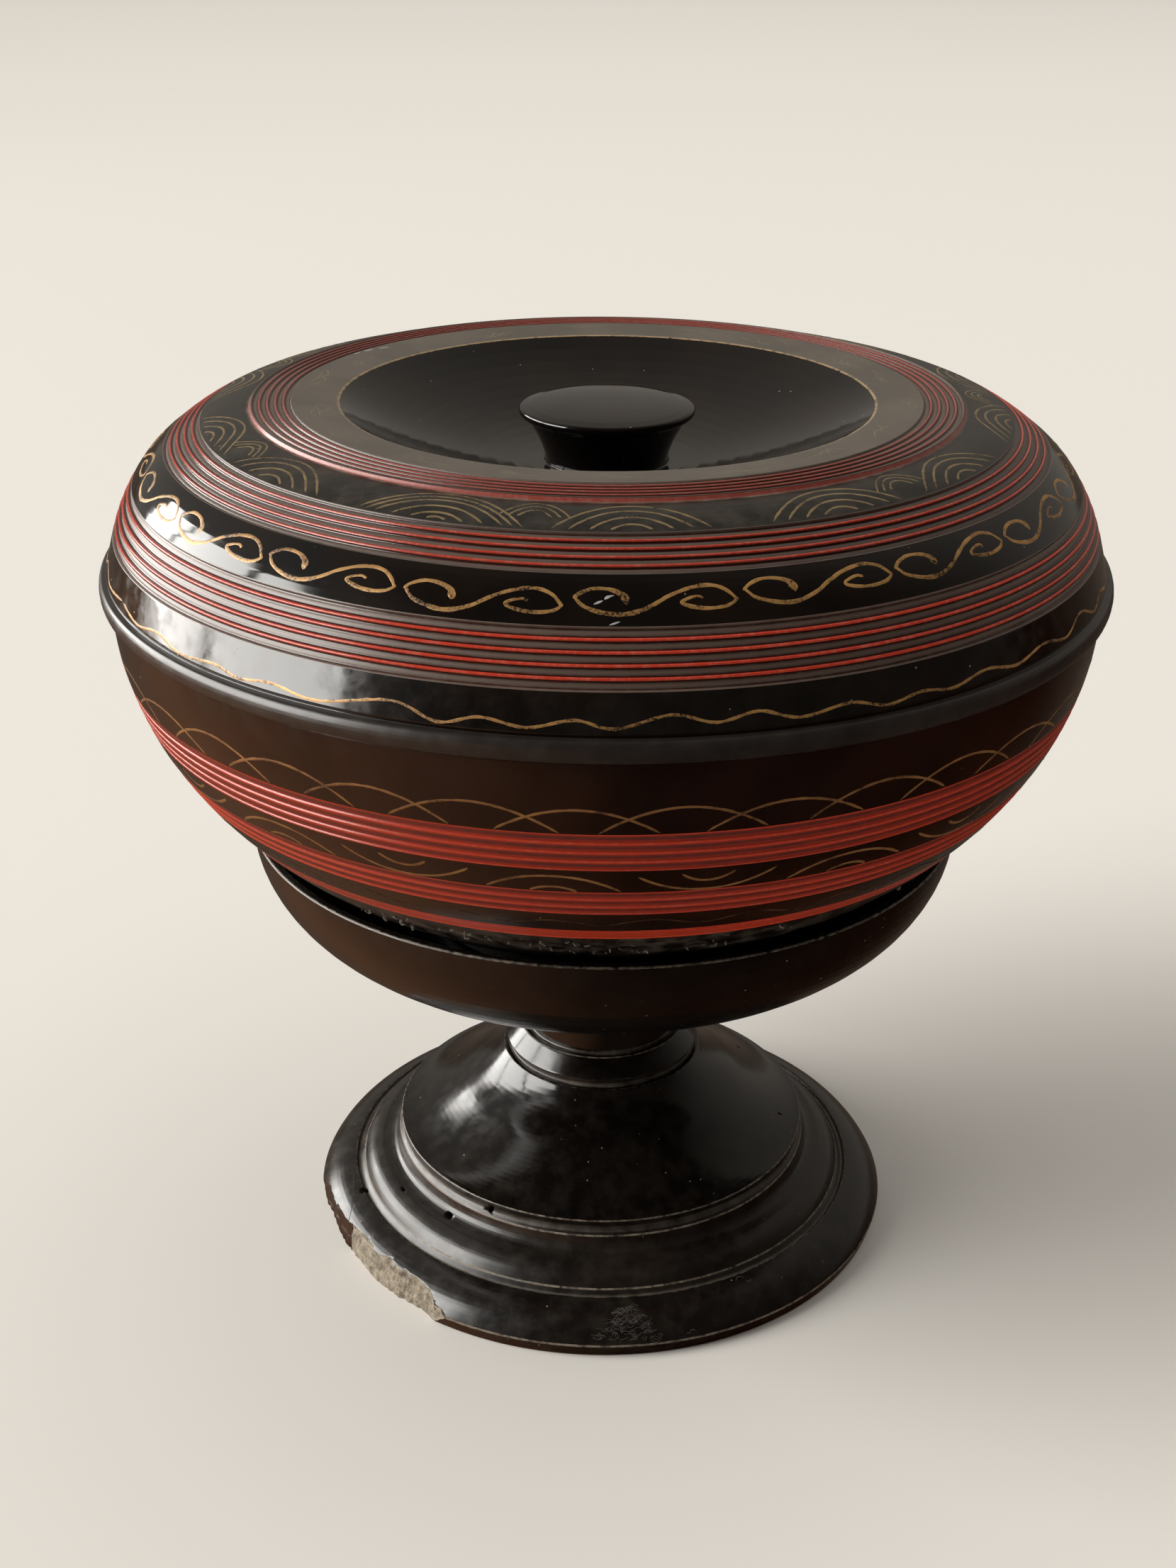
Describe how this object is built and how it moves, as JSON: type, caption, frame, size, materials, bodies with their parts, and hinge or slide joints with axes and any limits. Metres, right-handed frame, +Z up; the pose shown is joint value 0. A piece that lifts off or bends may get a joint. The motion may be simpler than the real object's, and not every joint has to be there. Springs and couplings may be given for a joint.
{
  "type": "lacquered wooden box",
  "caption": "Round lacquered wooden box: a domed lid with reeded bands and a sunken knob, on a deep bowl that rests in a pedestal stand.",
  "frame": {"origin": "on the surface that the foot stands on, at the middle of the foot", "axes": "+Z up along the turning axis; -Y towards the side that the picture shows, with the broken rim at the front left (-X, -Y)"},
  "size_m": [0.24, 0.24, 0.2205],
  "materials": {
    "lid_lacquer": "black lacquer, glossy, with dusty red reeds and worn gold lines",
    "bowl_lacquer": "clear brown-black lacquer, glossy, with vermilion bands and gold arcs",
    "stand_lacquer": "black lacquer, satin, with dust in the grooves and chips at the rim"
  },
  "bodies": {
    "root": {"lid": "lid_lacquer", "bowl": "bowl_lacquer", "stand_dish": "stand_lacquer", "stand_foot": "stand_lacquer"}
  },
  "joints": []
}
